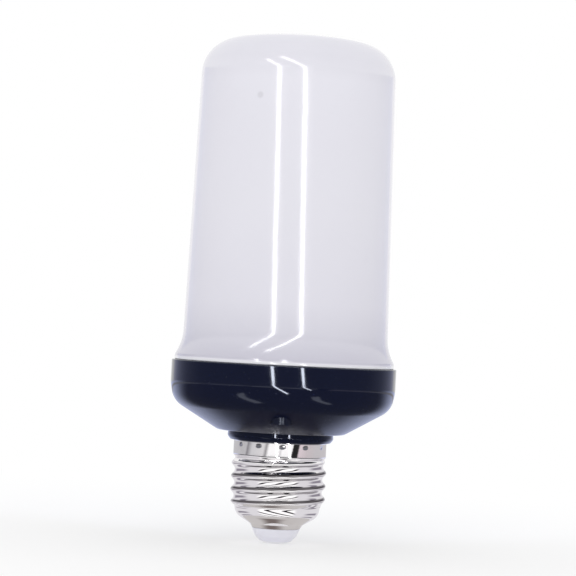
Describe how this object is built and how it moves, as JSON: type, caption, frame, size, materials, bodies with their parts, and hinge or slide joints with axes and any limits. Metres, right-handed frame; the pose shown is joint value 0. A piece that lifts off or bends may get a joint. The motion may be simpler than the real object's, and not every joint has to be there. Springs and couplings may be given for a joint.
{
  "type": "flame effect led bulb",
  "caption": "Screw-cap lamp with a tall milky shade on a dark bowl-shaped housing; lights on a wrapped sheet inside make it flicker like a flame.",
  "frame": {"origin": "centre of the flat face of the centre contact, at the bottom end of the lamp", "axes": "+Z along the lamp's axis from the contact to the top of the shade, -Y towards the viewer of the picture"},
  "size_m": [0.062, 0.062, 0.14],
  "materials": {
    "milky_plastic": "smooth milky moulding with a soft gloss",
    "dark_plastic": "polished blue-black moulding",
    "plated_shell": "bright nickel plate on rolled sheet",
    "white_plastic": "smooth white moulding",
    "plated_contact": "bright nickel plate",
    "core_plastic": "plain white moulding",
    "screw_steel": "zinc-plated steel",
    "white_laminate": "white solder mask on a flexible board",
    "light_chip": "clear resin over yellow phosphor",
    "green_laminate": "green solder mask on glass laminate",
    "resistor_coat": "dull flameproof coating",
    "chip_black": "moulded black resin",
    "capacitor_sleeve": "shrunk black sleeve",
    "ferrite": "fired grey ferrite",
    "enamelled_copper": "enamelled copper wire",
    "lead_red": "red insulation",
    "lead_black": "black insulation"
  },
  "bodies": {
    "root": {"shade": "milky_plastic", "housing": "dark_plastic", "screw_shell": "plated_shell", "insulator": "white_plastic", "centre_contact": "plated_contact", "core_tube": "core_plastic", "core_screws": "screw_steel", "light_sheet": "white_laminate", "side_lights": "light_chip", "driver_board": "green_laminate", "fuse_resistor": "resistor_coat", "bridge_rectifier": "chip_black", "driver_chip": "chip_black", "freewheel_diode": "chip_black", "microcontroller": "chip_black", "mains_capacitor": "capacitor_sleeve", "supply_capacitor": "capacitor_sleeve", "inductor_core": "ferrite", "inductor_winding": "enamelled_copper", "live_lead": "lead_red", "neutral_lead": "lead_black", "positive_lead": "lead_red", "negative_lead": "lead_black"}
  },
  "joints": []
}
